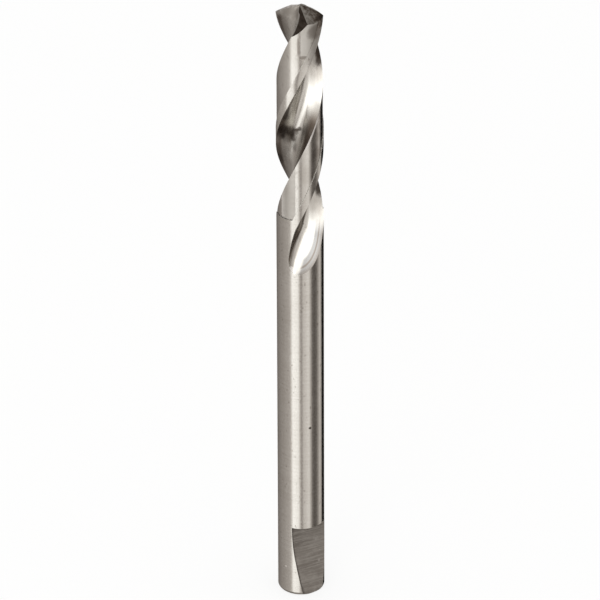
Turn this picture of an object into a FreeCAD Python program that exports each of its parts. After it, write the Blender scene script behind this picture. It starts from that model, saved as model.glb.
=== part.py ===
import FreeCAD
import Part
import Sketcher
import math
import os

# Pilot drill that centres a hole saw: one bar of high speed steel, all sizes in millimetres.
# The shank end stands on the plane z = 0 and the point is up.
# The inclined set-screw flat faces -Y.

NODE = "center_drill_bit"

SIZES = (
    ("drill_diameter", 6.35),
    ("back_taper", 0.03),
    ("overall_length", 88.9),
    ("shank_length", 49.5),
    ("end_rounding", 0.6),
    ("flat_step_height", 10.7),
    ("flat_depth", 1.5),
    ("flat_slope", 7.5),
    ("flat_sweep_radius", 36.0),
    ("flat_azimuth", -35.0),
    ("flute_lead", 40.6),
    ("flute_opening", 97.0),
    ("flute_phase", 22.0),
    ("flute_root_radius", 1.2),
    ("core_radius", 0.6),
    ("wheel_tilt", 26.0),
    ("wheel_radius", 13.5),
    ("wheel_height", 56.0),
    ("margin_opening", 20.0),
    ("body_clearance", 0.12),
    ("clearance_height", 58.3),
    ("heel_overlap", 6.0),
    ("point_angle", 130.0),
    ("lip_relief", 13.0),
    ("notch_start", 0.17),
    ("notch_setback", 0.18),
    ("notch_azimuth", 21.0),
    ("notch_descent", 40.7),
    ("notch_opening", 122.0),
    ("overcut", 1.0),
)

RADIUS = "Sizes.drill_diameter / 2"
SHANK_RADIUS = "(Sizes.drill_diameter - Sizes.back_taper) / 2"
HALF_OPENING = "(Sizes.flute_opening / 2)"
DEGREES_PER_HEIGHT = "(360 / Sizes.flute_lead)"
RIGHT_THROUGH = "4 * Sizes.drill_diameter"
FULL_TURN = 360
QUARTER_TURN = 90


def write_sizes(doc):
    sheet = doc.addObject("Spreadsheet::Sheet", "Sizes")
    for row, (name, value) in enumerate(SIZES, start=1):
        sheet.set("A%d" % row, name)
        sheet.set("B%d" % row, str(value))
        sheet.setAlias("B%d" % row, name)
    doc.recompute()


def origin_feature(body, role):
    for feature in body.Origin.OriginFeatures:
        if feature.Role == role:
            return feature
    raise ValueError(role)


def new_sketch(body, name, role, offset=None):
    sketch = body.newObject("Sketcher::SketchObject", name)
    sketch.AttachmentSupport = (origin_feature(body, role), [""])
    sketch.MapMode = "FlatFace"
    if offset:
        sketch.setExpression("AttachmentOffset", offset)
    body.Document.recompute()
    return sketch


def value_of(sketch, expression):
    return float(sketch.evalExpression(expression))


def point_at(sketch, across, up):
    return FreeCAD.Vector(value_of(sketch, across), value_of(sketch, up), 0)


def bind(sketch, constraint, expression):
    index = sketch.addConstraint(constraint)
    sketch.setExpression("Constraints[%d]" % index, expression)


def bind_point(sketch, line, end, across, up):
    for kind, axis, expression in (("DistanceX", -2, across), ("DistanceY", -1, up)):
        if expression == "0":
            sketch.addConstraint(Sketcher.Constraint("PointOnObject", line, end, axis))
        else:
            value = value_of(sketch, expression)
            bind(sketch, Sketcher.Constraint(kind, -1, 1, line, end, value), expression)


def arc_between(centre, start, end):
    # arc about the centre, counterclockwise from start to end
    circle = Part.Circle(centre, FreeCAD.Vector(0, 0, 1), (start - centre).Length)
    return Part.ArcOfCircle(circle, circle.parameter(start), circle.parameter(end))


def draw_outline(sketch, corners):
    # closed outline of straight edges, each corner bound to the sheet
    count = len(corners)
    for index in range(count):
        start = point_at(sketch, *corners[index])
        end = point_at(sketch, *corners[(index + 1) % count])
        sketch.addGeometry(Part.LineSegment(start, end))
    for index in range(count):
        sketch.addConstraint(Sketcher.Constraint("Coincident", index, 2, (index + 1) % count, 1))
    for index in range(count):
        bind_point(sketch, index, 1, *corners[index])


def add_blank(body):
    # ground bar: a plain shank, and a cutting length that grows very slightly towards the point
    sketch = new_sketch(body, "BlankProfile", "XZ_Plane")
    draw_outline(sketch, (
        ("0", "0"),
        (SHANK_RADIUS, "0"),
        (SHANK_RADIUS, "Sizes.shank_length"),
        (RADIUS, "Sizes.overall_length"),
        ("0", "Sizes.overall_length"),
    ))
    blank = body.newObject("PartDesign::Revolution", "Blank")
    blank.Profile = sketch
    blank.ReferenceAxis = (origin_feature(body, "Z_Axis"), [""])
    blank.Angle = FULL_TURN
    body.Document.recompute()
    return blank


def add_end_rounding(body, blank):
    # the rim of the shank end is rounded over
    rims = []
    for index, edge in enumerate(blank.Shape.Edges, start=1):
        if edge.BoundBox.ZMax < value_of(blank, "Sizes.end_rounding"):
            rims.append("Edge%d" % index)
    rounding = body.newObject("PartDesign::Fillet", "EndRounding")
    rounding.Base = (blank, rims)
    rounding.setExpression("Radius", "Sizes.end_rounding")
    body.Document.recompute()


def add_flat(body):
    # inclined set-screw flat: a plane that runs out into the grinding wheel's sweep and a square step
    azimuth = "placement(vector(0; 0; 0); rotation(vector(0; 1; 0); Sizes.flat_azimuth))"
    sketch = new_sketch(body, "FlatProfile", "XZ_Plane", azimuth)
    deepest = SHANK_RADIUS + " - Sizes.flat_depth"
    rise = "Sizes.flat_sweep_radius * sin(Sizes.flat_slope * 1deg)"
    bulge = "Sizes.flat_sweep_radius * (1 - cos(Sizes.flat_slope * 1deg))"
    knee_across = deepest + " + " + bulge
    knee_up = "Sizes.flat_step_height - " + rise
    foot_across = "%s + (%s + Sizes.overcut) * tan(Sizes.flat_slope * 1deg)" % (knee_across, knee_up)
    outside = RADIUS + " + Sizes.overcut"
    foot = (foot_across, "0 - Sizes.overcut")
    knee = (knee_across, knee_up)
    top = (deepest, "Sizes.flat_step_height")
    centre = (deepest + " + Sizes.flat_sweep_radius", "Sizes.flat_step_height")
    step = (outside, "Sizes.flat_step_height")
    below = (outside, "0 - Sizes.overcut")

    sketch.addGeometry(Part.LineSegment(point_at(sketch, *foot), point_at(sketch, *knee)))
    corners = [point_at(sketch, *place) for place in (centre, top, knee)]
    sketch.addGeometry(arc_between(*corners))
    sketch.addGeometry(Part.LineSegment(point_at(sketch, *top), point_at(sketch, *step)))
    sketch.addGeometry(Part.LineSegment(point_at(sketch, *step), point_at(sketch, *below)))
    sketch.addGeometry(Part.LineSegment(point_at(sketch, *below), point_at(sketch, *foot)))
    sketch.addConstraint(Sketcher.Constraint("Coincident", 0, 2, 1, 2))
    sketch.addConstraint(Sketcher.Constraint("Coincident", 1, 1, 2, 1))
    sketch.addConstraint(Sketcher.Constraint("Coincident", 2, 2, 3, 1))
    sketch.addConstraint(Sketcher.Constraint("Coincident", 3, 2, 4, 1))
    sketch.addConstraint(Sketcher.Constraint("Coincident", 4, 2, 0, 1))
    bind_point(sketch, 0, 1, *foot)
    bind_point(sketch, 0, 2, *knee)
    bind_point(sketch, 2, 1, *top)
    bind_point(sketch, 3, 1, *step)
    bind_point(sketch, 4, 1, *below)
    sweep = value_of(sketch, "Sizes.flat_sweep_radius")
    bind(sketch, Sketcher.Constraint("Radius", 1, sweep), "Sizes.flat_sweep_radius")

    flat = body.newObject("PartDesign::Pocket", "SetScrewFlat")
    flat.Profile = sketch
    flat.Midplane = True
    flat.setExpression("Length", RIGHT_THROUGH)


def flute_profile(body):
    # edge of the grinding wheel, in a plane leaning with the flute: two walls and a round root
    turn = "%s + Sizes.flute_phase - (Sizes.overall_length - Sizes.wheel_height) * %s" % (
        HALF_OPENING, DEGREES_PER_HEIGHT)
    place = ("placement(vector(0; 0; Sizes.wheel_height); "
             "rotation((%s) * 1deg; 0deg; 0deg - Sizes.wheel_tilt * 1deg))" % turn)
    sketch = new_sketch(body, "FluteProfile", "XY_Plane", place)
    # the wall crosses the outside of the bar at this angle within the leaning plane
    shift = "%s * tan(Sizes.wheel_tilt * 1deg) * 360 / Sizes.flute_lead" % RADIUS
    slide = "%s * sin(%s * 1deg)" % (shift, HALF_OPENING)
    mouth = "(%s ^ 2 / (%s + %s)) * 1deg" % (HALF_OPENING, HALF_OPENING, slide)
    mouth_across = "%s * cos(%s)" % (RADIUS, mouth)
    mouth_up = "%s * sin(%s) / cos(Sizes.wheel_tilt * 1deg)" % (RADIUS, mouth)
    reach = RADIUS + " + Sizes.overcut"

    root = value_of(sketch, "Sizes.flute_root_radius")
    centre = point_at(sketch, "Sizes.core_radius + Sizes.flute_root_radius", "0")
    mouth_point = point_at(sketch, mouth_across, mouth_up)
    outside = value_of(sketch, reach)
    to_mouth = mouth_point - centre
    touch = math.atan2(to_mouth.y, to_mouth.x) + math.acos(root / to_mouth.Length)
    upper_touch = centre + FreeCAD.Vector(root * math.cos(touch), root * math.sin(touch), 0)
    lower_touch = FreeCAD.Vector(upper_touch.x, -upper_touch.y, 0)
    wall = mouth_point - upper_touch
    half_mouth = mouth_point.y + (outside - mouth_point.x) * wall.y / wall.x
    lower = FreeCAD.Vector(outside, -half_mouth, 0)
    upper = FreeCAD.Vector(outside, half_mouth, 0)

    sketch.addGeometry(Part.LineSegment(lower, lower_touch))
    sketch.addGeometry(arc_between(centre, upper_touch, lower_touch))
    sketch.addGeometry(Part.LineSegment(upper_touch, upper))
    sketch.addGeometry(Part.LineSegment(upper, lower))
    sketch.addGeometry(Part.Point(mouth_point), True)
    sketch.addConstraint(Sketcher.Constraint("Tangent", 0, 2, 1, 2))
    sketch.addConstraint(Sketcher.Constraint("Tangent", 1, 1, 2, 1))
    sketch.addConstraint(Sketcher.Constraint("Coincident", 2, 2, 3, 1))
    sketch.addConstraint(Sketcher.Constraint("Coincident", 3, 2, 0, 1))
    sketch.addConstraint(Sketcher.Constraint("Symmetric", 2, 2, 0, 1, -1))
    bind_point(sketch, 1, 3, "Sizes.core_radius + Sizes.flute_root_radius", "0")
    bind(sketch, Sketcher.Constraint("Radius", 1, root), "Sizes.flute_root_radius")
    bind(sketch, Sketcher.Constraint("DistanceX", -1, 1, 2, 2, outside), reach)
    bind_point(sketch, 4, 1, mouth_across, mouth_up)
    sketch.addConstraint(Sketcher.Constraint("PointOnObject", 4, 1, 2))

    # axis of the grinding wheel, parallel to the leaning plane
    axle = value_of(sketch, "Sizes.core_radius + Sizes.wheel_radius")
    axle_ends = (FreeCAD.Vector(axle, -root, 0), FreeCAD.Vector(axle, root, 0))
    sketch.addGeometry(Part.LineSegment(*axle_ends), True)
    sketch.addConstraint(Sketcher.Constraint("Symmetric", 5, 1, 5, 2, -1))
    out_to_axle = Sketcher.Constraint("DistanceX", -1, 1, 5, 1, axle)
    bind(sketch, out_to_axle, "Sizes.core_radius + Sizes.wheel_radius")
    axle_length = Sketcher.Constraint("DistanceY", 5, 1, 5, 2, 2 * root)
    bind(sketch, axle_length, "2 * Sizes.flute_root_radius")
    return sketch


def pair_up(body, feature, name):
    # the second of two equal cuts, half a turn away
    pattern = body.newObject("PartDesign::PolarPattern", name)
    pattern.Originals = [feature]
    pattern.Axis = (origin_feature(body, "Z_Axis"), [""])
    pattern.Angle = FULL_TURN
    pattern.Occurrences = 2
    body.Tip = pattern
    body.Document.recompute()


def centre_height(feature):
    return feature.Shape.CenterOfGravity.z


def volume_left(feature):
    return feature.Shape.Volume


def settle_direction(feature, measure):
    # a cut can run either way from its profile: keep the way that leaves the smaller measure
    forward = measure(feature)
    feature.Reversed = True
    feature.Document.recompute()
    if measure(feature) > forward:
        feature.Reversed = False
        feature.Document.recompute()


def wind(body, sketch, name, start):
    # right-hand helical cut from the start height out through the point
    cut = body.newObject("PartDesign::SubtractiveHelix", name)
    cut.Profile = sketch
    cut.ReferenceAxis = (origin_feature(body, "Z_Axis"), [""])
    cut.Mode = "pitch-height-angle"
    cut.setExpression("Pitch", "Sizes.flute_lead")
    cut.setExpression("Height", "Sizes.overall_length - %s + 2 * Sizes.overcut" % start)
    body.Tip = cut
    body.Document.recompute()
    settle_direction(cut, centre_height)
    return cut


def add_flutes(body):
    sketch = flute_profile(body)
    flute = wind(body, sketch, "Flute", "Sizes.wheel_height")
    pair_up(body, flute, "Flutes")
    # where each flute ends the wheel lifts out and leaves its own round sweep
    runout = body.newObject("PartDesign::Groove", "FluteRunout")
    runout.Profile = sketch
    runout.ReferenceAxis = (sketch, ["Axis0"])
    runout.Angle = QUARTER_TURN
    body.Tip = runout
    body.Document.recompute()
    settle_direction(runout, volume_left)
    pair_up(body, runout, "FluteRunouts")


def add_clearance(body):
    # behind each narrow margin the land is ground slightly under the full diameter
    below_point = "(Sizes.overall_length - Sizes.clearance_height)"
    turn = "Sizes.flute_phase - %s * %s" % (below_point, DEGREES_PER_HEIGHT)
    place = "placement(vector(0; 0; Sizes.clearance_height); rotation((%s) * 1deg; 0deg; 0deg))" % turn
    sketch = new_sketch(body, "ClearanceProfile", "XY_Plane", place)
    inner = "(%s - Sizes.body_clearance)" % RADIUS
    outer = "(%s + Sizes.overcut)" % RADIUS
    front = "(0 - Sizes.margin_opening) * 1deg"
    back = "(Sizes.flute_opening - 180 - Sizes.heel_overlap) * 1deg"
    corners = []
    for radius, angle in ((inner, front), (outer, front), (outer, back), (inner, back)):
        corners.append(("%s * cos(%s)" % (radius, angle), "%s * sin(%s)" % (radius, angle)))
    points = [point_at(sketch, *corner) for corner in corners]
    centre = FreeCAD.Vector(0, 0, 0)
    sketch.addGeometry(Part.LineSegment(points[0], points[1]))
    sketch.addGeometry(arc_between(centre, points[2], points[1]))
    sketch.addGeometry(Part.LineSegment(points[2], points[3]))
    sketch.addGeometry(arc_between(centre, points[3], points[0]))
    sketch.addConstraint(Sketcher.Constraint("Coincident", 0, 2, 1, 2))
    sketch.addConstraint(Sketcher.Constraint("Coincident", 1, 1, 2, 1))
    sketch.addConstraint(Sketcher.Constraint("Coincident", 2, 2, 3, 1))
    sketch.addConstraint(Sketcher.Constraint("Coincident", 3, 2, 0, 1))
    sketch.addConstraint(Sketcher.Constraint("Coincident", 1, 3, -1, 1))
    sketch.addConstraint(Sketcher.Constraint("Coincident", 3, 3, -1, 1))
    bind_point(sketch, 0, 1, *corners[0])
    bind_point(sketch, 0, 2, *corners[1])
    bind(sketch, Sketcher.Constraint("DistanceY", -1, 1, 2, 1, points[2].y), corners[2][1])
    bind(sketch, Sketcher.Constraint("DistanceY", -1, 1, 2, 2, points[3].y), corners[3][1])
    clearance = wind(body, sketch, "BodyClearance", "Sizes.clearance_height")
    pair_up(body, clearance, "BodyClearances")


def add_point(body):
    # two flat flanks that meet in the chisel edge, each falling away behind its cutting lip
    place = ("placement(vector(0; 0; Sizes.overall_length); "
             "rotation(vector(0; 1; 0); (180 - Sizes.point_angle / 2) * 1deg))")
    sketch = new_sketch(body, "FlankProfile", "XY_Plane", place)
    reach = "Sizes.drill_diameter"
    fall = "%s * tan(Sizes.lip_relief * 1deg)" % reach
    draw_outline(sketch, (
        (fall, "0 - " + reach),
        ("0 - " + fall, reach),
        ("0 - " + reach, reach),
        ("0 - " + reach, "0 - " + reach),
    ))
    flank = body.newObject("PartDesign::Pocket", "LipFlank")
    flank.Profile = sketch
    flank.Midplane = True
    flank.setExpression("Length", RIGHT_THROUGH)
    body.Tip = flank
    body.Document.recompute()
    pair_up(body, flank, "LipFlanks")


def add_notches(body):
    # the split in the point: a straight notch ground beside the chisel edge down through each heel
    place = ("placement(vector(Sizes.notch_start; 0 - Sizes.notch_setback; "
             "Sizes.overall_length - Sizes.notch_setback * tan(Sizes.lip_relief * 1deg)"
             " - Sizes.notch_start / tan(Sizes.point_angle / 2 * 1deg)); "
             "rotation(Sizes.notch_azimuth * 1deg; (90 - Sizes.notch_descent) * 1deg; 0deg))")
    sketch = new_sketch(body, "NotchProfile", "XY_Plane", place)
    reach = "Sizes.drill_diameter"
    draw_outline(sketch, (
        ("0", "0"),
        ("0 - " + reach, "0"),
        ("0 - " + reach, "0 - " + reach),
        ("0 - %s * cos(Sizes.notch_opening * 1deg)" % reach,
         "0 - %s * sin(Sizes.notch_opening * 1deg)" % reach),
    ))
    notch = body.newObject("PartDesign::Pocket", "SplitNotch")
    notch.Profile = sketch
    notch.Midplane = True
    notch.setExpression("Length", RIGHT_THROUGH)
    body.Tip = notch
    body.Document.recompute()
    pair_up(body, notch, "SplitNotches")


def build(doc):
    body = doc.addObject("PartDesign::Body", NODE)
    body.Label = NODE
    blank = add_blank(body)
    add_end_rounding(body, blank)
    add_flat(body)
    add_flutes(body)
    add_clearance(body)
    add_point(body)
    add_notches(body)
    # turn the whole bar so that the set-screw flat faces -Y
    body.setExpression("Placement", "placement(vector(0; 0; 0); rotation(vector(0; 0; 1);"
                                    " (0 - 90 - Sizes.flat_azimuth) * 1deg))")
    doc.recompute()
    return body


def check(doc):
    for item in doc.Objects:
        if "Invalid" in item.State or "Error" in item.State:
            raise RuntimeError("feature failed: " + item.Name)
        if hasattr(item, "Shape") and item.TypeId.startswith("PartDesign::") and item.Shape.isNull():
            raise RuntimeError("empty shape: " + item.Name)


def main():
    doc = FreeCAD.newDocument("CenterDrillBit")
    write_sizes(doc)
    body = build(doc)
    check(doc)
    shape = body.Shape
    if shape.isNull() or not shape.isValid() or len(shape.Solids) != 1:
        raise RuntimeError("the drill is not one valid solid")
    os.makedirs("parts", exist_ok=True)
    shape.exportStep("parts/" + NODE + ".step")


main()
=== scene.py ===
import math

import bpy
from mathutils import Matrix, Vector


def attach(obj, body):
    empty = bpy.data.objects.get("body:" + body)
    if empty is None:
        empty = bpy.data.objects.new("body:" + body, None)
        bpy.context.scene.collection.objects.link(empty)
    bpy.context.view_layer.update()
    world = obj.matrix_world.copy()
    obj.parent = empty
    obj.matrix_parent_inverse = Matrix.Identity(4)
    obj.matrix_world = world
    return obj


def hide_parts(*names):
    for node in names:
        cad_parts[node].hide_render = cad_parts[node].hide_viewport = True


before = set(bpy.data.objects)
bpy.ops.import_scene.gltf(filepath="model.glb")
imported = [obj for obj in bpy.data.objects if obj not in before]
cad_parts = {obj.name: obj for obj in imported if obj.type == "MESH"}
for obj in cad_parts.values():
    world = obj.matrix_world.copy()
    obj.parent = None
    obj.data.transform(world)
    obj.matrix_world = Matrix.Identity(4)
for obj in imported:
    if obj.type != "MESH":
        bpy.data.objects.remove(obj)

# Pilot drill of a hole saw, standing on its shank end. Lengths in metres unless a name says otherwise.

MM = 0.001
LENGTH = 88.9 * MM
SHANK_LENGTH = 49.5 * MM
SHANK_RADIUS = 3.16 * MM
CUTTING_RADIUS = 3.175 * MM
RELIEVED_RADIUS = 3.055 * MM
RIM_RADIUS = 0.6 * MM
FLAT_TOP = 10.7 * MM
FLAT_DEPTH_FROM_AXIS = 1.66 * MM
FLAT_SWEEP_RADIUS = 36.0 * MM
FLAT_SWEEP_FOOT = 5.9 * MM
POINT_HEIGHT = 5.0 * MM

# The flute is cut by a wheel whose edge has two straight walls and a round root, in a plane that leans
# by the tilt. It winds up the drill from the wheel height, and below that it is the wheel's own sweep.
FLUTE_LEAD = 40.6 * MM
FLUTE_OPENING = math.radians(97.0)
FLUTE_PHASE = math.radians(22.0 - 55.0)
WHEEL_TILT = math.radians(26.0)
WHEEL_HEIGHT = 56.0 * MM
WHEEL_RADIUS = 13.5 * MM
CORE_RADIUS = 0.6 * MM
ROOT_RADIUS = 1.2 * MM
ROOT_CENTRE = CORE_RADIUS + ROOT_RADIUS
RUN_OUT_FOOT = 45.0 * MM
HELIX_OVERLAP = 1.0 * MM
SWEEP_OVERLAP = 3.0 * MM
WALL_TOUCH = math.radians(133.86)
WINDING = 2.0 * math.pi / FLUTE_LEAD
MARGIN_START = math.radians(158.0)
CUTTING_EDGE_SLACK = 0.1
MARGIN_SLOPE = math.radians(10.0)
MARGIN_WEAR_MIDDLE = 75.7 * MM
MARGIN_WEAR_HALF_LENGTH = 6.2 * MM

FLANK_FACING = Vector((0.054, -0.472, 0.880)).normalized()
NOTCH_FACING = Vector((-0.757, -0.131, 0.640)).normalized()
INNER_LIP_FACING = Vector((-0.559, -0.829, 0.0)).normalized()
FLAT_FACING = Vector((0.0, -0.991445, 0.130526))
POINT_OF_FLAT = Vector((0.0, -2.3631, 3.0)) * MM
NOTCH_CORNER = Vector((0.17, -0.18, 0.0)) * MM
NOTCH_TURN = math.radians(-55.0)
NOTCH_DROP = 0.121 * MM

# How near a face has to lie to a ground surface, and how well it has to look the same way, to be part of it.
HEIGHT_SLACK = 0.01 * MM
SURFACE_SLACK = 0.05 * MM
GAP_FOR_NO_MATCH = 0.4 * MM
LEAST_MATCH = 0.85
MERGE_DISTANCE = 0.0001 * MM
UNWINDING_STEPS = 12

IMAGE_SIDE_PX = 600
SENSOR_WIDTH_MM = 36.0
FOCAL_LENGTH_PX = 7306.0
CAMERA_DISTANCE = 0.975
CAMERA_AZIMUTH_DEG = -35.0
CAMERA_ELEVATION_DEG = 29.6
CAMERA_ROLL_DEG = 0.20
SHIFT_DOWN_PX = 0.65
SHIFT_RIGHT_PX = 0.35
CAMERA_NEAR_LIMIT = 0.01

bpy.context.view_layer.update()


def add_node(tree, kind, inputs=None, **settings):
    node = tree.nodes.new(kind)
    for name, value in settings.items():
        setattr(node, name, value)
    for name, value in (inputs or {}).items():
        if isinstance(value, bpy.types.NodeSocket):
            tree.links.new(value, node.inputs[name])
        else:
            node.inputs[name].default_value = value
    return node


def maths(tree, operation, first, second=0.0, third=0.0):
    return add_node(tree, "ShaderNodeMath", {0: first, 1: second, 2: third}, operation=operation).outputs[0]


def mapped(tree, value, low, high, to_low, to_high, kind="SMOOTHSTEP"):
    inputs = {"Value": value, "From Min": low, "From Max": high, "To Min": to_low, "To Max": to_high}
    return add_node(tree, "ShaderNodeMapRange", inputs, interpolation_type=kind).outputs["Result"]


def vector_maths(tree, operation, first, second=(0.0, 0.0, 0.0)):
    return add_node(tree, "ShaderNodeVectorMath", {0: first, 1: second}, operation=operation).outputs


def noise(tree, vector, stretch, detail=3.0, roughness=0.55):
    # the stretch is how often the pattern changes in a metre, along each axis
    placed = add_node(tree, "ShaderNodeMapping", {"Vector": vector, "Scale": stretch}).outputs["Vector"]
    inputs = {"Vector": placed, "Scale": 1.0, "Detail": detail, "Roughness": roughness}
    return add_node(tree, "ShaderNodeTexNoise", inputs).outputs["Fac"]


def mixed(tree, amount, first, second):
    node = add_node(tree, "ShaderNodeMix", data_type="RGBA")
    for socket, value in ((node.inputs[0], amount), (node.inputs[6], first), (node.inputs[7], second)):
        if isinstance(value, bpy.types.NodeSocket):
            tree.links.new(value, socket)
        else:
            socket.default_value = value
    return node.outputs[2]


# Steel colours, as linear light; the brown, dull, blackened and chip colours also serve for painted light and
# shade.
BRIGHT_STEEL = (0.605, 0.59, 0.55, 1.0)
GROUND_STEEL = (0.525, 0.505, 0.465, 1.0)
DULL_AND_SHADE_STEEL = (0.33, 0.305, 0.275, 1.0)
BROWN_AND_SHADE_STEEL = (0.17, 0.14, 0.115, 1.0)
BLACKENED_AND_SHADOW_STEEL = (0.045, 0.034, 0.027, 1.0)
FILMED_STEEL = (0.295, 0.29, 0.28, 1.0)
CHIP_AND_HIGHLIGHT_BRIGHT = (0.95, 0.93, 0.90, 1.0)

# Marks, each with centre and half sizes in millimetres, and how strong it is: the smudges, burns, stains,
# pits and chips are ones that the used drill carries, while the rim highlight, foot shadows and foot lights
# are painted light and shade.
FLUTE_SMUDGES = (
    ((-1.5, 0.4, 69.9), (1.9, 1.4, 2.2), 0.35),
    ((-2.4, 0.4, 71.1), (1.0, 0.9, 1.5), 0.80),
    ((-1.5, 0.2, 70.5), (0.9, 0.7, 1.2), 0.76),
    ((-0.8, 0.0, 70.2), (0.8, 0.7, 1.0), 0.76),
    ((-0.62, -0.2, 70.6), (0.45, 0.45, 0.40), 0.90),
    ((-0.42, -0.5, 70.85), (0.50, 0.55, 0.40), 0.75),
    ((-2.1, 0.9, 69.8), (0.45, 0.5, 0.9), 0.85),
    ((-0.9, 0.2, 69.3), (0.55, 0.5, 1.0), 0.85),
    ((-0.6, 0.25, 68.1), (0.6, 0.6, 1.3), 0.50),
    ((-2.65, -0.45, 73.7), (0.75, 0.75, 2.1), 0.75),
    ((-2.55, -0.85, 74.4), (0.5, 0.55, 1.7), 0.80),
    ((-2.1, -0.5, 73.1), (0.7, 0.7, 1.6), 0.50),
    ((-1.7, 1.6, 66.9), (1.6, 1.5, 2.6), 0.32),
    ((-1.5, 2.6, 65.4), (0.9, 0.9, 2.2), 0.70),
    ((2.9, -0.2, 80.9), (1.0, 1.0, 1.9), 0.95),
    ((2.65, -0.6, 80.2), (0.8, 0.8, 1.1), 0.80),
    ((2.2, -0.5, 80.6), (1.1, 0.9, 2.0), 0.45),
    ((2.8, -0.3, 60.9), (1.0, 1.0, 1.9), 0.90),
)
CORNER_BURN = (((1.4, -2.85, 86.95), (0.85, 0.7, 0.85), 0.95),)
FLANK_BURN = (((1.85, -2.45, 87.5), (1.0, 0.8, 0.8), 0.85),)
# painted highlight: a bright thin arc on the rim at the foot of the run-out
RUN_OUT_RIM_HIGHLIGHT = (-2.62, -1.66, 50.85), (0.50, 0.50, 0.62)
# The painted shade in the near run-out, a brown dark strip that it mirrors, ends at two slanting lines: how
# far right each is at no height, and its slope.
NEAR_RUN_OUT_SHADE_EDGES = ((-35.83 * MM, 0.64), (-20.28 * MM, 0.36))
LAND_STAINS = (
    ((0.35, -3.0, 86.1), (1.5, 0.9, 1.35), 0.62),
    ((-1.3, -2.8, 82.6), (0.70, 0.6, 0.32), 0.60),
    ((-1.9, -2.4, 84.3), (0.20, 0.3, 1.7), 0.50),
)
# painted shadows along the foot of the relief
RELIEF_FOOT_SHADOWS = (
    ((-2.35, -2.08, 58.36), (0.95, 0.95, 0.11), 0.9),
    ((2.35, 2.08, 58.36), (0.95, 0.95, 0.11), 0.9),
)
# painted light on the step wall at the foot of the relief
FOOT_LIGHTS = (((-3.05, 0.6, 58.34), (0.6, 1.6, 0.3), 1.0),)
SHANK_PITS = (
    ((-0.65, -3.08, 26.40), (0.25, 0.25, 0.21), 1.0),
    ((-2.1, -2.4, 37.2), (0.07, 0.07, 0.07), 0.7),
)
SHANK_CHIPS = (
    ((-3.06, -0.75, 4.34), (0.16, 0.16, 0.19), 1.0),
    ((-3.12, -0.45, 48.69), (0.12, 0.12, 0.14), 0.35),
)
FLAT_CHIPS = (
    ((1.42, -2.18, 4.41), (0.22, 0.22, 0.30), 0.35),
    ((1.7, -2.0, 5.9), (0.10, 0.10, 0.14), 0.35),
)


def new_steel(name):
    material = bpy.data.materials.new(name)
    material.use_nodes = True
    tree = material.node_tree
    shader = tree.nodes["Principled BSDF"]
    shader.inputs["Metallic"].default_value = 1.0
    place = add_node(tree, "ShaderNodeTexCoord").outputs["Object"]
    return material, tree, shader, place


def finish_steel(tree, shader, colour, roughness, height, depth):
    tree.links.new(colour, shader.inputs["Base Color"])
    tree.links.new(roughness, shader.inputs["Roughness"])
    bump = add_node(tree, "ShaderNodeBump", {"Strength": 1.0, "Distance": depth, "Height": height})
    tree.links.new(bump.outputs["Normal"], shader.inputs["Normal"])


def blend_of(tree, first, share, second):
    # weighted sum of two patterns
    first_part = maths(tree, "MULTIPLY", first, share)
    second_part = maths(tree, "MULTIPLY", second, 1.0 - share)
    return maths(tree, "ADD", first_part, second_part)


def mark(tree, place, centre, half_sizes, softness, raggedness=0.0):
    # one inside an oval space round the centre, fading to none at its edge
    offset = vector_maths(tree, "SUBTRACT", place, Vector(centre) * MM)["Vector"]
    scale = [1.0 / (half * MM) for half in half_sizes]
    spread = vector_maths(tree, "MULTIPLY", offset, scale)["Vector"]
    gap = vector_maths(tree, "LENGTH", spread)["Value"]
    if raggedness:
        ragged = noise(tree, place, (1500.0, 1500.0, 900.0), 4.0, 0.65)
        gap = maths(tree, "MULTIPLY_ADD", ragged, raggedness, maths(tree, "SUBTRACT", gap, raggedness / 2.0))
    return mapped(tree, gap, 1.0 - softness, 1.0, 1.0, 0.0)


def marked(tree, place, colour, marks, stain, softness=0.6, raggedness=0.0):
    for centre, half_sizes, strength in marks:
        amount = mark(tree, place, centre, half_sizes, softness, raggedness)
        colour = mixed(tree, maths(tree, "MULTIPLY", amount, strength), colour, stain)
    return colour


def turn_behind_lip(tree, place):
    # angle in degrees from the nearer cutting edge round to the face, wound with the flutes, 0 to 180
    parts = add_node(tree, "ShaderNodeSeparateXYZ", {"Vector": place}).outputs
    turn = maths(tree, "ARCTAN2", parts["Y"], parts["X"])
    start = LENGTH * WINDING - FLUTE_PHASE
    turn = maths(tree, "ADD", maths(tree, "MULTIPLY_ADD", parts["Z"], -WINDING, start), turn)
    return maths(tree, "MULTIPLY", maths(tree, "FRACT", maths(tree, "DIVIDE", turn, math.pi)), 180.0)


def turn_round_axis(tree, place):
    # angle in degrees round the drill, the same for both of its sides, 0 to 180
    parts = add_node(tree, "ShaderNodeSeparateXYZ", {"Vector": place}).outputs
    turn = maths(tree, "ARCTAN2", parts["Y"], parts["X"])
    return maths(tree, "MULTIPLY", maths(tree, "FRACT", maths(tree, "DIVIDE", turn, math.pi)), 180.0)


def distance_from_axis(tree, place):
    level = vector_maths(tree, "MULTIPLY", place, (1.0, 1.0, 0.0))["Vector"]
    return vector_maths(tree, "LENGTH", level)["Value"]


def between(tree, value, low, high, soft):
    # one between the two values, with soft ends
    rise = mapped(tree, value, low - soft, low + soft, 0.0, 1.0)
    return maths(tree, "MULTIPLY", rise, mapped(tree, value, high - soft, high + soft, 1.0, 0.0))


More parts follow.
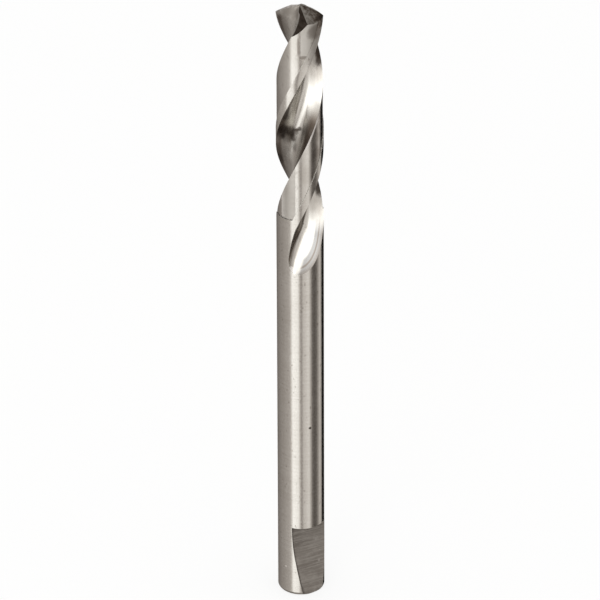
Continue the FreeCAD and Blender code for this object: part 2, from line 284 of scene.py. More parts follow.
def cylinder_ground_steel():
    # fine grinding lines run round the bar
    material, tree, shader, place = new_steel("cylinder_ground_steel")
    lines = noise(tree, place, (150.0, 150.0, 9000.0), 4.0)
    cloud = noise(tree, place, (260.0, 260.0, 160.0), 4.0)
    grain = noise(tree, place, (5200.0, 5200.0, 5200.0), 2.0)
    tone = blend_of(tree, lines, 0.3, blend_of(tree, cloud, 0.45, grain))
    colour = mixed(tree, mapped(tree, tone, 0.38, 0.62, 0.0, 1.0), GROUND_STEEL, BRIGHT_STEEL)
    pits = mapped(tree, noise(tree, place, (2200.0, 2200.0, 1700.0), 2.0), 0.64, 0.74, 0.0, 0.8)
    colour = mixed(tree, pits, colour, DULL_AND_SHADE_STEEL)
    margin_stains = LAND_STAINS[:1] + CORNER_BURN
    colour = marked(tree, place, colour, margin_stains, BROWN_AND_SHADE_STEEL, softness=0.5, raggedness=0.7)
    colour = marked(tree, place, colour, SHANK_PITS, BLACKENED_AND_SHADOW_STEEL, softness=0.5)
    colour = marked(tree, place, colour, SHANK_CHIPS, CHIP_AND_HIGHLIGHT_BRIGHT)
    height = add_node(tree, "ShaderNodeSeparateXYZ", {"Vector": place}).outputs["Z"]
    heated = mapped(tree, height, 80.5 * MM, 82.5 * MM, 0.0, 0.28)
    roughness = maths(tree, "ADD", mapped(tree, grain, 0.3, 0.7, 0.10, 0.20), heated)
    finish_steel(tree, shader, colour, roughness, blend_of(tree, lines, 0.4, grain), depth=0.003 * MM)
    return material


def relieved_steel():
    # land behind the margin, ground back a tenth of a millimetre, matt where the grinding starts
    material, tree, shader, place = new_steel("relieved_steel")
    height = add_node(tree, "ShaderNodeSeparateXYZ", {"Vector": place}).outputs["Z"]
    lines = noise(tree, place, (300.0, 300.0, 5200.0), 3.0)
    cloud = noise(tree, place, (420.0, 420.0, 260.0), 4.0)
    blotches = noise(tree, place, (1100.0, 1100.0, 700.0), 4.0, 0.6)
    around = turn_round_axis(tree, place)
    colour = mixed(tree, mapped(tree, cloud, 0.35, 0.65, 0.0, 1.0), GROUND_STEEL, BRIGHT_STEEL)
    matt = maths(tree, "MULTIPLY", between(tree, around, 2.0, 43.5, 1.0),
                 mapped(tree, height, 65.0 * MM, 68.0 * MM, 1.0, 0.0))
    # painted shade on one side of the matt run-out and painted light on the other
    painted_shade_side = mapped(tree, around, 4.0, 22.0, 0.0, 0.5)
    painted_light_side = mapped(tree, around, 2.0, 18.0, 0.5, 0.0)
    colour = mixed(tree, maths(tree, "MULTIPLY", matt, painted_shade_side), colour, DULL_AND_SHADE_STEEL)
    colour = mixed(tree, maths(tree, "MULTIPLY", matt, painted_light_side), colour, CHIP_AND_HIGHLIGHT_BRIGHT)
    heated = maths(tree, "MULTIPLY", between(tree, around, 58.0, 135.0, 3.0),
                   mapped(tree, height, 82.1 * MM, 82.7 * MM, 0.0, 1.0))
    browned = maths(tree, "MULTIPLY", between(tree, around, 86.0, 150.0, 4.0),
                    between(tree, height, 63.0 * MM, 75.0 * MM, 1.5 * MM))
    browned = maths(tree, "MULTIPLY", browned, mapped(tree, blotches, 0.35, 0.65, 0.25, 0.6))
    colour = mixed(tree, browned, colour, BROWN_AND_SHADE_STEEL)
    # painted highlight along the land's heel edge, a little rougher there
    painted_heel_highlight = maths(tree, "MULTIPLY", mapped(tree, turn_behind_lip(tree, place), 101.5, 104.0, 0.9, 0.0),
                        between(tree, height, 69.2 * MM, 73.5 * MM, 1.0 * MM))
    colour = mixed(tree, painted_heel_highlight, colour, CHIP_AND_HIGHLIGHT_BRIGHT)
    colour = mixed(tree, mapped(tree, blotches, 0.56, 0.70, 0.0, 0.4), colour, DULL_AND_SHADE_STEEL)
    stains = LAND_STAINS + CORNER_BURN
    colour = marked(tree, place, colour, stains, BROWN_AND_SHADE_STEEL, softness=0.45, raggedness=0.6)
    colour = marked(tree, place, colour, RELIEF_FOOT_SHADOWS, BLACKENED_AND_SHADOW_STEEL, softness=0.7)
    polished = mapped(tree, lines, 0.3, 0.7, 0.13, 0.22)
    dull = maths(tree, "MAXIMUM", maths(tree, "MAXIMUM", matt, heated), painted_heel_highlight)
    roughness = maths(tree, "MULTIPLY_ADD", dull, 0.34, polished)
    finish_steel(tree, shader, colour, roughness, blend_of(tree, lines, 0.6, blotches), depth=0.0025 * MM)
    return material


def browned_and_shaded_flute_edges(tree, colour, turn, reach, height):
    # heat has browned the core at the point; the wall is darker brown near the cutting edge, and painted
    # shade darkens the heel's wall halfway up
    edge = maths(tree, "ADD", mapped(tree, reach, 1.6 * MM, 2.3 * MM, 0.0, 0.20),
                 mapped(tree, reach, 2.25 * MM, 2.65 * MM, 0.0, 0.70))
    lip_side = maths(tree, "MULTIPLY", mapped(tree, turn, 56.0, 66.0, 1.0, 0.0), edge)
    lip_side = maths(tree, "MULTIPLY", lip_side, mapped(tree, height, 86.6 * MM, 87.5 * MM, 1.0, 0.25))
    lip_side = maths(tree, "MULTIPLY", lip_side, mapped(tree, height, 51.9 * MM, 52.7 * MM, 0.0, 1.0))
    burnt_tip = maths(tree, "MULTIPLY", mapped(tree, height, 86.7 * MM, 87.7 * MM, 0.0, 0.5),
                      mapped(tree, reach, 1.9 * MM, 2.5 * MM, 1.0, 0.0))
    painted_heel_shade = maths(tree, "MULTIPLY", mapped(tree, turn, 60.0, 85.0, 0.0, 1.0),
                      mapped(tree, reach, 1.2 * MM, 2.4 * MM, 0.0, 1.0))
    painted_heel_shade = maths(tree, "MULTIPLY", painted_heel_shade, between(tree, height, 63.5 * MM, 73.9 * MM, 1.8 * MM))
    for amount in (burnt_tip, lip_side, painted_heel_shade):
        colour = mixed(tree, amount, colour, BROWN_AND_SHADE_STEEL)
    return colour


def greyed_and_rim_shaded_heel_wall(tree, colour, turn, reach, height):
    # the heel's wall in the run-outs is greyer, with a fine dark line and painted shade towards the rim
    low_heel = maths(tree, "MULTIPLY", mapped(tree, turn, 62.0, 72.0, 0.0, 1.0),
                     mapped(tree, height, 55.0 * MM, 57.6 * MM, 1.0, 0.0))
    outer_heel = maths(tree, "MULTIPLY", low_heel, mapped(tree, reach, 1.95 * MM, 2.2 * MM, 0.0, 1.0))
    colour = mixed(tree, outer_heel, colour, FILMED_STEEL)
    rim_shade = maths(tree, "MAXIMUM", between(tree, reach, 2.52 * MM, 2.70 * MM, 0.05 * MM),
                      mapped(tree, reach, 2.6 * MM, 3.2 * MM, 0.0, 0.8))
    rim_shade = maths(tree, "MULTIPLY", maths(tree, "MULTIPLY", low_heel, rim_shade), 0.75)
    return mixed(tree, rim_shade, colour, BROWN_AND_SHADE_STEEL)


def shaded_near_run_out(tree, colour, parts, reach):
    # painted shade: the brown dark strip that the near run-out mirrors, darker low down and towards the core
    height = parts["Z"]
    past = [maths(tree, "SUBTRACT", parts["X"], maths(tree, "MULTIPLY_ADD", height, slope, start))
            for start, slope in NEAR_RUN_OUT_SHADE_EDGES]
    run_out_shade = mapped(tree, maths(tree, "MAXIMUM", *past), -0.13 * MM, 0.13 * MM, 1.0, 0.0)
    run_out_shade = maths(tree, "MULTIPLY", run_out_shade, mapped(tree, height, 58.5 * MM, 59.3 * MM, 1.0, 0.0))
    run_out_shade = maths(tree, "MULTIPLY", run_out_shade, mapped(tree, parts["Y"], -0.1 * MM, 0.1 * MM, 1.0, 0.0))
    run_out_shade_colour = mixed(tree, mapped(tree, height, 55.2 * MM, 56.4 * MM, 0.0, 0.8), BROWN_AND_SHADE_STEEL, DULL_AND_SHADE_STEEL)
    deepest_shade = maths(tree, "MULTIPLY", mapped(tree, reach, 2.0 * MM, 2.5 * MM, 0.5, 0.0),
                  mapped(tree, height, 54.9 * MM, 55.5 * MM, 1.0, 0.0))
    return mixed(tree, run_out_shade, colour, mixed(tree, deepest_shade, run_out_shade_colour, BLACKENED_AND_SHADOW_STEEL))


def flute_steel():
    # the flute wheel leaves long lines that wind with the flute
    material, tree, shader, place = new_steel("flute_steel")
    parts = add_node(tree, "ShaderNodeSeparateXYZ", {"Vector": place}).outputs
    height = parts["Z"]
    unwound = add_node(tree, "ShaderNodeVectorRotate", {"Vector": place, "Angle":
                       maths(tree, "MULTIPLY", height, -WINDING)}, rotation_type="Z_AXIS").outputs["Vector"]
    lines = noise(tree, unwound, (2600.0, 2600.0, 60.0), 2.0)
    smear = noise(tree, unwound, (620.0, 620.0, 260.0), 5.0, 0.65)
    colour = mixed(tree, mapped(tree, blend_of(tree, lines, 0.3, smear), 0.36, 0.64, 0.0, 1.0),
                   GROUND_STEEL, BRIGHT_STEEL)
    turn = turn_behind_lip(tree, place)
    reach = distance_from_axis(tree, place)
    colour = browned_and_shaded_flute_edges(tree, colour, turn, reach, height)
    colour = mixed(tree, mapped(tree, smear, 0.58, 0.74, 0.0, 0.6), colour, DULL_AND_SHADE_STEEL)
    colour = greyed_and_rim_shaded_heel_wall(tree, colour, turn, reach, height)
    colour = shaded_near_run_out(tree, colour, parts, reach)
    colour = marked(tree, place, colour, FLUTE_SMUDGES, BLACKENED_AND_SHADOW_STEEL, softness=0.7, raggedness=0.9)
    # painted highlight on the run-out's rim, with the steel a little rougher there
    rim_highlight = mark(tree, place, *RUN_OUT_RIM_HIGHLIGHT, 0.6)
    colour = mixed(tree, rim_highlight, colour, CHIP_AND_HIGHLIGHT_BRIGHT)
    heated = mapped(tree, height, 86.5 * MM, 88.0 * MM, 0.0, 0.3)
    heated = maths(tree, "MULTIPLY_ADD", rim_highlight, 0.35, heated)
    roughness = maths(tree, "ADD", mapped(tree, smear, 0.3, 0.7, 0.18, 0.32), heated)
    finish_steel(tree, shader, colour, roughness, lines, depth=0.002 * MM)
    return material


def flank_steel():
    # ground flat, then burnt brown towards the rim and the cutting lip
    material, tree, shader, place = new_steel("flank_steel")
    lines = noise(tree, place, (900.0, 5200.0, 900.0), 3.0)
    cloud = noise(tree, place, (1500.0, 1500.0, 1500.0), 5.0, 0.7)
    burn = mapped(tree, turn_behind_lip(tree, place), 118.0, 172.0, 0.0, 0.8)
    reach = distance_from_axis(tree, place)
    burn = maths(tree, "ADD", burn, mapped(tree, reach, 1.4 * MM, 3.1 * MM, 0.0, 0.25))
    burn = maths(tree, "ADD", burn, mapped(tree, cloud, 0.36, 0.64, -0.50, 0.36, "LINEAR"))
    colour = mixed(tree, mapped(tree, burn, 0.0, 0.7, 0.0, 1.0, "LINEAR"), GROUND_STEEL, BROWN_AND_SHADE_STEEL)
    colour = mixed(tree, mapped(tree, burn, 0.7, 1.2, 0.0, 0.85, "LINEAR"), colour, BLACKENED_AND_SHADOW_STEEL)
    colour = marked(tree, place, colour, FLANK_BURN, BLACKENED_AND_SHADOW_STEEL, softness=0.8, raggedness=0.5)
    roughness = mapped(tree, cloud, 0.3, 0.7, 0.32, 0.5)
    finish_steel(tree, shader, colour, roughness, blend_of(tree, lines, 0.5, cloud), depth=0.006 * MM)
    return material


def notch_steel():
    # the split of the point, painted nearly black as shade but for a strip beside the inner lip
    material, tree, shader, place = new_steel("notch_steel")
    height = add_node(tree, "ShaderNodeSeparateXYZ", {"Vector": place}).outputs["Z"]
    lines = noise(tree, place, (4200.0, 1200.0, 1200.0), 3.0)
    colour = mixed(tree, mapped(tree, lines, 0.3, 0.7, 0.1, 0.4), BLACKENED_AND_SHADOW_STEEL, BROWN_AND_SHADE_STEEL)
    strip_end = mapped(tree, height, 87.95 * MM, 88.25 * MM, 98.5, 87.0)
    behind_strip = maths(tree, "SUBTRACT", turn_behind_lip(tree, place), strip_end)
    colour = mixed(tree, mapped(tree, behind_strip, -1.5, 1.5, 1.0, 0.0), colour, GROUND_STEEL)
    roughness = mapped(tree, lines, 0.3, 0.7, 0.38, 0.48)
    finish_steel(tree, shader, colour, roughness, lines, depth=0.005 * MM)
    return material


def flat_steel():
    # coarse surface grinding across the set-screw flat, a little askew
    material, tree, shader, place = new_steel("flat_steel")
    askew = add_node(tree, "ShaderNodeMapping", {"Vector": place, "Rotation": (0.0, math.radians(-5.0), 0.0)})
    across = askew.outputs["Vector"]
    lines = noise(tree, across, (260.0, 260.0, 7600.0), 4.0, 0.7)
    bands = noise(tree, across, (90.0, 90.0, 2200.0), 3.0)
    cloud = noise(tree, place, (700.0, 700.0, 700.0), 5.0, 0.65)
    tone = blend_of(tree, lines, 0.6, blend_of(tree, bands, 0.4, cloud))
    colour = mixed(tree, mapped(tree, tone, 0.42, 0.58, 0.0, 0.7), DULL_AND_SHADE_STEEL, GROUND_STEEL)
    colour = mixed(tree, mapped(tree, cloud, 0.58, 0.72, 0.0, 0.45), colour, BRIGHT_STEEL)
    parts = add_node(tree, "ShaderNodeSeparateXYZ", {"Vector": place}).outputs
    # painted shadow under the step along the flat's top
    corner = mapped(tree, parts["Z"], FLAT_TOP - 0.5 * MM, FLAT_TOP - 0.1 * MM, 0.0, 0.85)
    corner = maths(tree, "MULTIPLY", corner, mapped(tree, parts["X"], -0.6 * MM, 1.6 * MM, 1.0, 0.15))
    colour = mixed(tree, corner, colour, BLACKENED_AND_SHADOW_STEEL)
    dark_edge = mapped(tree, distance_from_axis(tree, place), 2.93 * MM, 3.13 * MM, 0.0, 0.65)
    dark_edge = maths(tree, "MULTIPLY", dark_edge, mapped(tree, parts["X"], -1.4 * MM, -0.9 * MM, 1.0, 0.0))
    colour = mixed(tree, dark_edge, colour, BLACKENED_AND_SHADOW_STEEL)
    colour = marked(tree, place, colour, FLAT_CHIPS, CHIP_AND_HIGHLIGHT_BRIGHT, softness=0.8, raggedness=0.8)
    roughness = mapped(tree, lines, 0.3, 0.7, 0.32, 0.46)
    finish_steel(tree, shader, colour, roughness, tone, depth=0.014 * MM)
    return material


def end_steel():
    material, tree, shader, place = new_steel("end_steel")
    lines = noise(tree, place, (700.0, 4200.0, 700.0), 3.0)
    colour = mixed(tree, mapped(tree, lines, 0.35, 0.65, 0.0, 1.0), DULL_AND_SHADE_STEEL, GROUND_STEEL)
    roughness = mapped(tree, lines, 0.3, 0.7, 0.3, 0.42)
    finish_steel(tree, shader, colour, roughness, lines, depth=0.008 * MM)
    return material


def step_steel():
    # the low wall between the margin and the relieved land
    material, tree, shader, place = new_steel("step_steel")
    grain = noise(tree, place, (2600.0, 2600.0, 2600.0), 3.0)
    height = add_node(tree, "ShaderNodeSeparateXYZ", {"Vector": place}).outputs["Z"]
    colour = mixed(tree, mapped(tree, grain, 0.35, 0.65, 0.0, 1.0), GROUND_STEEL, BRIGHT_STEEL)
    colour = mixed(tree, mapped(tree, height, 82.5 * MM, 85.0 * MM, 0.0, 0.85), colour, BROWN_AND_SHADE_STEEL)
    # painted light and painted shadow at the foot of the relief
    colour = marked(tree, place, colour, FOOT_LIGHTS, CHIP_AND_HIGHLIGHT_BRIGHT)
    colour = marked(tree, place, colour, RELIEF_FOOT_SHADOWS, BLACKENED_AND_SHADOW_STEEL, softness=0.7)
    roughness = mapped(tree, grain, 0.3, 0.7, 0.3, 0.45)
    finish_steel(tree, shader, colour, roughness, grain, depth=0.004 * MM)
    return material


def half_turn(vector):
    return Vector((-vector.x, -vector.y, vector.z))


def turned(vector, angle):
    return Matrix.Rotation(angle, 3, "Z") @ vector


def wheel_edge(across, along):
    # how far a point of the leaning plane is from the wheel's edge, and which way the cut face looks
    around = math.atan2(along, across - ROOT_CENTRE) % (2.0 * math.pi)
    facing = min(max(around, WALL_TOUCH), 2.0 * math.pi - WALL_TOUCH)
    look = (math.cos(facing), math.sin(facing))
    gap = (across - ROOT_CENTRE) * look[0] + along * look[1] - ROOT_RADIUS
    return abs(gap), -look[0], -look[1]


def leaning(across, along):
    # a direction of the leaning plane, with the drill's axis along Z
    return Vector((across, along * math.cos(WHEEL_TILT), -along * math.sin(WHEEL_TILT)))


def flute_turn(height):
    return FLUTE_OPENING / 2.0 + FLUTE_PHASE - (LENGTH - height) * WINDING


def helical_face(point):
    # gap and facing of the wound flute that opens towards the point
    turn = flute_turn(point.z)
    section = turned(Vector((point.x, point.y, 0.0)), -turn)
    lean = math.sin(WHEEL_TILT) * WINDING
    along = 0.0
    for _ in range(UNWINDING_STEPS):
        flat = turned(section, -along * lean)
        along = flat.y / math.cos(WHEEL_TILT)
    gap, out_across, out_along = wheel_edge(flat.x, along)
    edge_way = leaning(-out_along, out_across)
    wound_way = Vector((-WINDING * flat.y, WINDING * flat.x, 1.0))
    facing = edge_way.cross(wound_way).normalized()
    if facing.dot(leaning(out_across, out_along)) < 0.0:
        facing.negate()
    return gap, turned(facing, along * lean + turn)


def swept_face(point):
    # gap and facing of the round sweep that the wheel leaves where it lifts out
    turn = flute_turn(WHEEL_HEIGHT)
    local = turned(point - Vector((0.0, 0.0, WHEEL_HEIGHT)), -turn)
    axle = Vector((CORE_RADIUS + WHEEL_RADIUS, 0.0, 0.0))
    axle_way = leaning(0.0, 1.0)
    along = (local - axle).dot(axle_way)
    spoke = local - axle - axle_way * along
    gap, out_across, out_along = wheel_edge(axle.x - spoke.length, along)
    facing = spoke.normalized() * -out_across + axle_way * out_along
    return gap, turned(facing.normalized(), turn)


def round_face(radius):
    def measure(point):
        spoke = Vector((point.x, point.y, 0.0))
        return abs(spoke.length - radius), spoke.normalized()
    return measure


def margin_face(point):
    # the cutting part's cylinder, whose margins are worn halfway up, sloping a little to the cutting edge
    gap, facing = round_face(CUTTING_RADIUS)(point)
    behind_lip = (math.atan2(point.y, point.x) - FLUTE_PHASE + (LENGTH - point.z) * WINDING) % math.pi
    on_margin = behind_lip > MARGIN_START or behind_lip < CUTTING_EDGE_SLACK
    offset = abs(point.z - MARGIN_WEAR_MIDDLE) / MARGIN_WEAR_HALF_LENGTH
    fade = min(max(2.0 - 2.0 * offset, 0.0), 1.0)
    return gap, turned(facing, MARGIN_SLOPE * fade if on_margin else 0.0)


def rim_face(point):
    spoke = Vector((point.x, point.y, 0.0))
    centre = spoke.normalized() * (SHANK_RADIUS - RIM_RADIUS) + Vector((0.0, 0.0, RIM_RADIUS))
    out = point - centre
    return abs(out.length - RIM_RADIUS), out.normalized()


def plane_face(facing, through):
    def measure(point):
        return abs((point - through).dot(facing)), facing
    return measure


def sweep_of_flat(point):
    # the round run-out of the flat, towards its step
    centre = Vector((0.0, -FLAT_DEPTH_FROM_AXIS - FLAT_SWEEP_RADIUS, FLAT_TOP))
    out = Vector((0.0, point.y, point.z)) - centre
    return abs(out.length - FLAT_SWEEP_RADIUS), -out.normalized()


def on_far_side(measure):
    # the same surface half a turn round the drill
    def measure_far(point):
        gap, facing = measure(half_turn(point))
        return gap, half_turn(facing)
    return measure_far


APEX = Vector((0.0, 0.0, LENGTH))
NOTCH_START = turned(NOTCH_CORNER, NOTCH_TURN) + APEX - Vector((0.0, 0.0, NOTCH_DROP))
ORIGIN = Vector((0.0, 0.0, 0.0))
DOWN = Vector((0.0, 0.0, -1.0))


def surfaces():
    # every ground surface: its finish, the heights it lies between, and its gap and facing at a point
    point_foot = LENGTH - POINT_HEIGHT
    both_sides = (
        ("flank", point_foot, LENGTH, plane_face(FLANK_FACING, APEX)),
        ("notch", point_foot, LENGTH, plane_face(NOTCH_FACING, NOTCH_START)),
        ("flute", point_foot, LENGTH, plane_face(INNER_LIP_FACING, NOTCH_START)),
        ("flute", WHEEL_HEIGHT - HELIX_OVERLAP, LENGTH, helical_face),
        ("flute", RUN_OUT_FOOT, WHEEL_HEIGHT + SWEEP_OVERLAP, swept_face),
    )
    found = [
        ("end", 0.0, HEIGHT_SLACK, plane_face(DOWN, ORIGIN)),
        ("cylinder", 0.0, RIM_RADIUS, rim_face),
        ("flat", 0.0, FLAT_TOP, plane_face(FLAT_FACING, POINT_OF_FLAT)),
        ("flat", FLAT_SWEEP_FOOT, FLAT_TOP, sweep_of_flat),
        ("flat", FLAT_TOP, FLAT_TOP, plane_face(DOWN, Vector((0.0, 0.0, FLAT_TOP)))),
        ("cylinder", RIM_RADIUS, SHANK_LENGTH, round_face(SHANK_RADIUS)),
        ("cylinder", SHANK_LENGTH, LENGTH, margin_face),
        ("relieved", SHANK_LENGTH, LENGTH, round_face(RELIEVED_RADIUS)),
    ]
    for finish, low, high, measure in both_sides:
        found.append((finish, low, high, measure))
        found.append((finish, low, high, on_far_side(measure)))
    return found


def best_surface(known, centre, facing):
    # the surface that the face lies on and looks along, or none for a narrow step between two
    best, best_score = None, LEAST_MATCH
    for surface in known:
        finish, low, high, measure = surface
        if low - HEIGHT_SLACK <= centre.z <= high + HEIGHT_SLACK:
            gap, direction = measure(centre)
            score = facing.dot(direction) - gap / GAP_FOR_NO_MATCH
            if gap < SURFACE_SLACK and score > best_score:
                best, best_score = surface, score
    return best


FINISHES = {
    "cylinder": cylinder_ground_steel,
    "relieved": relieved_steel,
    "flute": flute_steel,
    "flank": flank_steel,
    "notch": notch_steel,
    "flat": flat_steel,
    "end": end_steel,
    "step": step_steel,
}


def deselect_everything():
    bpy.ops.object.select_all(action="DESELECT")


def make_drill(node):
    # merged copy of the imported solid, with a finish and true facing on each ground surface
    mesh = node.data.copy()
    mesh.materials.clear()
    drill = bpy.data.objects.new("ground_drill", mesh)
    bpy.context.scene.collection.objects.link(drill)
    deselect_everything()
    drill.select_set(True)
    bpy.context.view_layer.objects.active = drill
    bpy.ops.object.mode_set(mode="EDIT")
    bpy.ops.mesh.select_all(action="SELECT")
    bpy.ops.mesh.remove_doubles(threshold=MERGE_DISTANCE)
    bpy.ops.object.mode_set(mode="OBJECT")
    bpy.ops.object.shade_smooth()
    finishes = list(FINISHES)
    for name in finishes:
        mesh.materials.append(FINISHES[name]())
    known = surfaces()
    facings = [Vector(normal.vector) for normal in mesh.corner_normals]
    for face in mesh.polygons:
        surface = best_surface(known, face.center, face.normal)
        finish = surface[0] if surface else "step"
        face.material_index = finishes.index(finish)
        for corner in face.loop_indices:
            point = mesh.vertices[mesh.loops[corner].vertex_index].co
            outwards = Vector((point.x, point.y, 0.0)).normalized()
            facings[corner] = surface[3](point)[1] if surface else outwards
    mesh.normals_split_custom_set(facings)
    return drill


def make_camera():
    elevation = math.radians(CAMERA_ELEVATION_DEG)
    azimuth = math.radians(CAMERA_AZIMUTH_DEG)
    reach = CAMERA_DISTANCE * math.cos(elevation)
    place = Vector((math.sin(azimuth) * reach, -math.cos(azimuth) * reach,
                    LENGTH / 2 + CAMERA_DISTANCE * math.sin(elevation)))
    turn = Matrix.Rotation(azimuth, 4, "Z") @ Matrix.Rotation(math.pi / 2 - elevation, 4, "X")
    turn = turn @ Matrix.Rotation(-math.radians(CAMERA_ROLL_DEG), 4, "Z")
    bpy.ops.object.camera_add(location=place, rotation=turn.to_euler())
    camera = bpy.context.object
    camera.data.sensor_width = SENSOR_WIDTH_MM
    camera.data.lens = FOCAL_LENGTH_PX / IMAGE_SIDE_PX * SENSOR_WIDTH_MM
    camera.data.shift_x = -SHIFT_RIGHT_PX / IMAGE_SIDE_PX
    camera.data.shift_y = SHIFT_DOWN_PX / IMAGE_SIDE_PX
    camera.data.clip_start = CAMERA_NEAR_LIMIT
    bpy.context.scene.camera = camera


# What the bare steel mirrors, by the angle round the drill from the camera, rightwards, in degrees.
# Each brightness is the one that the steel shows, from black 0 to white 1.
SURROUND_BELOW = (
    (-180, 0.52), (-135, 0.36), (-90, 0.40), (-20, 0.49), (5, 0.50),
    (28, 0.24), (60, 0.34), (95, 0.24), (140, 0.34), (180, 0.52),
)
SURROUND_BANDS = (
    (-180, 0.78), (-168, 0.62), (-158, 0.33), (-150, 0.34), (-140, 0.42), (-100, 0.51), (-70, 0.57),
    (-53, 0.62), (-46, 0.78), (-40, 0.94), (-12, 0.90), (-5, 0.72), (0, 0.56), (5, 0.52),
    (14, 0.70), (42, 0.78), (52, 0.58), (60, 0.36), (72, 0.30), (84, 0.35), (96, 0.52),
    (108, 0.68), (120, 0.58), (130, 0.05), (155, 0.04), (165, 0.50), (180, 0.78),
)
SURROUND_LEVEL = (
    (-180, 0.70), (-150, 0.44), (-120, 0.32), (-98, 0.46), (-80, 0.62), (-62, 0.95), (-50, 1.0),
    (-8, 1.0), (4, 0.90), (18, 0.74), (34, 0.66), (52, 0.72), (72, 0.60), (92, 0.36),
    (120, 0.34), (150, 0.52), (180, 0.70),
)
SURROUND_ABOVE = (
    (-180, 0.70), (-135, 0.42), (-95, 0.28), (-75, 0.50), (-55, 0.62), (-40, 0.70), (-31, 0.80),
    (-24, 0.98), (32, 1.0), (42, 0.88), (54, 0.55), (66, 0.36), (110, 0.34), (150, 0.52),
    (180, 0.70),
)
SURROUND_TOP = (0.44, 0.43, 0.42, 1.0)
# The angles above the horizon over which each ring gives way to the next, and the last one to the top.
RINGS_ABOVE_LOWEST = (
    (SURROUND_BANDS, -48.0, -38.0),
    (SURROUND_LEVEL, -21.0, -8.0),
    (SURROUND_ABOVE, 12.0, 28.0),
)
TOP_RISE = (42.0, 60.0)
WARMTH = 0.08
COOLNESS = 0.05
# A window's glare, by its angles round the drill and above the horizon.
GLARE = 0.5
GLARE_TURN = (-56.0, -12.0, 6.0)
GLARE_RISE = (-13.0, 5.0, 4.0)
HIGH_GLARE_TURN = (-30.0, 38.0, 5.0)
HIGH_GLARE_RISE = (7.0, 42.0, 4.0)
DISPLAY_POWER = 2.2
BARE_STEEL_MIRRORS = 0.56
WHITE = (1.0, 1.0, 1.0, 1.0)

FLOOR_SIZE = 6.0
FLOOR_COLOUR = (0.92, 0.92, 0.91, 1.0)
FLOOR_ROUGHNESS = 0.9
FLOOR_GLOW = 0.8
SOFT_BOX_PLACE = Vector((-0.62, -0.42, 0.38))
SOFT_BOX_SIZE = 0.35
SOFT_BOX_POWER = 1.0


def surround_ring(tree, turn, stops):
    # brightness round the drill, with soft steps between the named angles
    ramp = add_node(tree, "ShaderNodeValToRGB", {"Fac": turn})
    bands = ramp.color_ramp
    bands.interpolation = "EASE"
    while len(bands.elements) > 1:
        bands.elements.remove(bands.elements[-1])
    for place, (angle, brightness) in enumerate(stops):
        at = (angle + 180.0) / 360.0
        stop = bands.elements[0] if place == 0 else bands.elements.new(at)
        stop.position = at
        dimness = 1.0 - brightness
        red = brightness * (1.0 + WARMTH * dimness)
        blue = brightness * (1.0 - COOLNESS * dimness)
        stop.color = (red, brightness, blue, 1.0)
    return ramp.outputs["Color"]


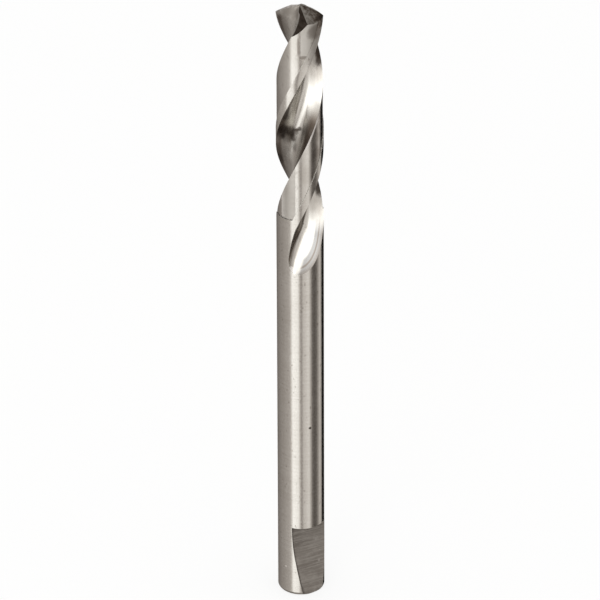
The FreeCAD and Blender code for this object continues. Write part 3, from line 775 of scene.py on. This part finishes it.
def make_surround():
    world = bpy.data.worlds.new("studio")
    bpy.context.scene.world = world
    world.use_nodes = True
    tree = world.node_tree
    tree.nodes.clear()
    direction = add_node(tree, "ShaderNodeTexCoord").outputs["Generated"]
    parts = add_node(tree, "ShaderNodeSeparateXYZ", {"Vector": direction}).outputs
    turn = maths(tree, "ARCTAN2", parts["Y"], parts["X"])
    from_camera = (90.0 - CAMERA_AZIMUTH_DEG) / 360.0 + 0.5
    turn = maths(tree, "ADD", maths(tree, "DIVIDE", turn, 2.0 * math.pi), from_camera)
    turn = maths(tree, "FRACT", turn)
    rise = maths(tree, "MULTIPLY", maths(tree, "ARCSINE", parts["Z"]), 180.0 / math.pi)
    shown = surround_ring(tree, turn, SURROUND_BELOW)
    for stops, low, high in RINGS_ABOVE_LOWEST:
        shown = mixed(tree, mapped(tree, rise, low, high, 0.0, 1.0), shown, surround_ring(tree, turn, stops))
    top = mapped(tree, rise, *TOP_RISE, 0.0, 1.0)
    shown = mixed(tree, top, shown, SURROUND_TOP)
    level = add_node(tree, "ShaderNodeGamma", {"Color": shown, "Gamma": DISPLAY_POWER}).outputs["Color"]
    degrees = maths(tree, "MULTIPLY_ADD", turn, 360.0, -180.0)
    low_glare = maths(tree, "MULTIPLY", between(tree, degrees, *GLARE_TURN), between(tree, rise, *GLARE_RISE))
    high_glare = maths(tree, "MULTIPLY", between(tree, degrees, *HIGH_GLARE_TURN),
                       between(tree, rise, *HIGH_GLARE_RISE))
    glare = maths(tree, "MULTIPLY", maths(tree, "MAXIMUM", low_glare, high_glare), GLARE)
    strength = maths(tree, "DIVIDE", maths(tree, "ADD", glare, 1.0), BARE_STEEL_MIRRORS)
    mirrored = add_node(tree, "ShaderNodeBackground", {"Color": level, "Strength": strength})
    white = add_node(tree, "ShaderNodeBackground", {"Color": WHITE, "Strength": 1.0})
    path = add_node(tree, "ShaderNodeLightPath").outputs
    first = add_node(tree, "ShaderNodeMixShader", {0: path["Is Glossy Ray"], 1: white.outputs[0],
                                                   2: mirrored.outputs[0]})
    second = add_node(tree, "ShaderNodeMixShader", {0: path["Is Camera Ray"], 1: first.outputs[0],
                                                    2: white.outputs[0]})
    add_node(tree, "ShaderNodeOutputWorld", {"Surface": second.outputs[0]})


def make_floor():
    deselect_everything()
    bpy.ops.mesh.primitive_plane_add(size=FLOOR_SIZE)
    floor = bpy.context.object
    floor.name = "floor"
    material = bpy.data.materials.new("pale_floor")
    material.use_nodes = True
    tree = material.node_tree
    shader = tree.nodes["Principled BSDF"]
    shader.inputs["Base Color"].default_value = FLOOR_COLOUR
    shader.inputs["Roughness"].default_value = FLOOR_ROUGHNESS
    glow = add_node(tree, "ShaderNodeEmission", {"Color": WHITE, "Strength": 1.0})
    seen = add_node(tree, "ShaderNodeLightPath").outputs["Is Camera Ray"]
    share = maths(tree, "MULTIPLY", seen, FLOOR_GLOW)
    both = add_node(tree, "ShaderNodeMixShader", {0: share, 1: shader.outputs[0], 2: glow.outputs[0]})
    tree.links.new(both.outputs[0], tree.nodes["Material Output"].inputs["Surface"])
    floor.data.materials.append(material)
    floor.visible_glossy = False
    floor.visible_shadow = False


def make_soft_box():
    aim = (Vector((0.0, 0.0, LENGTH / 2)) - SOFT_BOX_PLACE).to_track_quat("-Z", "Y").to_euler()
    bpy.ops.object.light_add(type="AREA", location=SOFT_BOX_PLACE, rotation=aim)
    lamp = bpy.context.object
    lamp.name = "soft_box"
    lamp.data.shape = "RECTANGLE"
    lamp.data.size = SOFT_BOX_SIZE
    lamp.data.size_y = SOFT_BOX_SIZE
    lamp.data.energy = SOFT_BOX_POWER
    lamp.visible_camera = False
    lamp.visible_glossy = False


drill = make_drill(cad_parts["center_drill_bit"])
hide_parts("center_drill_bit")
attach(drill, "root")
make_floor()
make_surround()
make_soft_box()
make_camera()
bpy.context.scene.view_settings.view_transform = "Standard"
